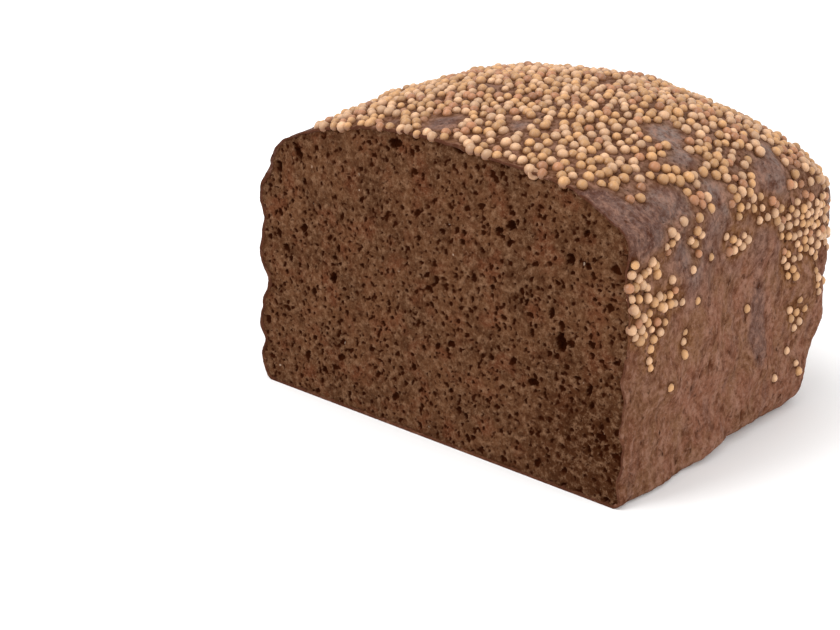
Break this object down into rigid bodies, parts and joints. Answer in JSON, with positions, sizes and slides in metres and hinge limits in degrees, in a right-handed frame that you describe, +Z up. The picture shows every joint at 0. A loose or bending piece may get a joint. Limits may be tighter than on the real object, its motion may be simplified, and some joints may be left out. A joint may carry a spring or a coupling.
{
  "type": "rye bread loaf",
  "caption": "Half of a dark rye tin loaf, cut square across, with coriander seeds on its crust; it stands on its flat base.",
  "frame": {"origin": "on the table under the middle of the half loaf, at the centre of its bounding box's footprint", "axes": "+X across the loaf, to the right of the cut face as it is looked at; +Y from the cut face to the baked end; +Z up"},
  "size_m": [0.1231, 0.1075, 0.0868],
  "materials": {
    "crust": "matt dark brown rye crust",
    "crumb": "matt dark brown open crumb",
    "seeds": "toasted tan coriander husk"
  },
  "bodies": {
    "root": {"loaf": "crust"}
  },
  "joints": []
}
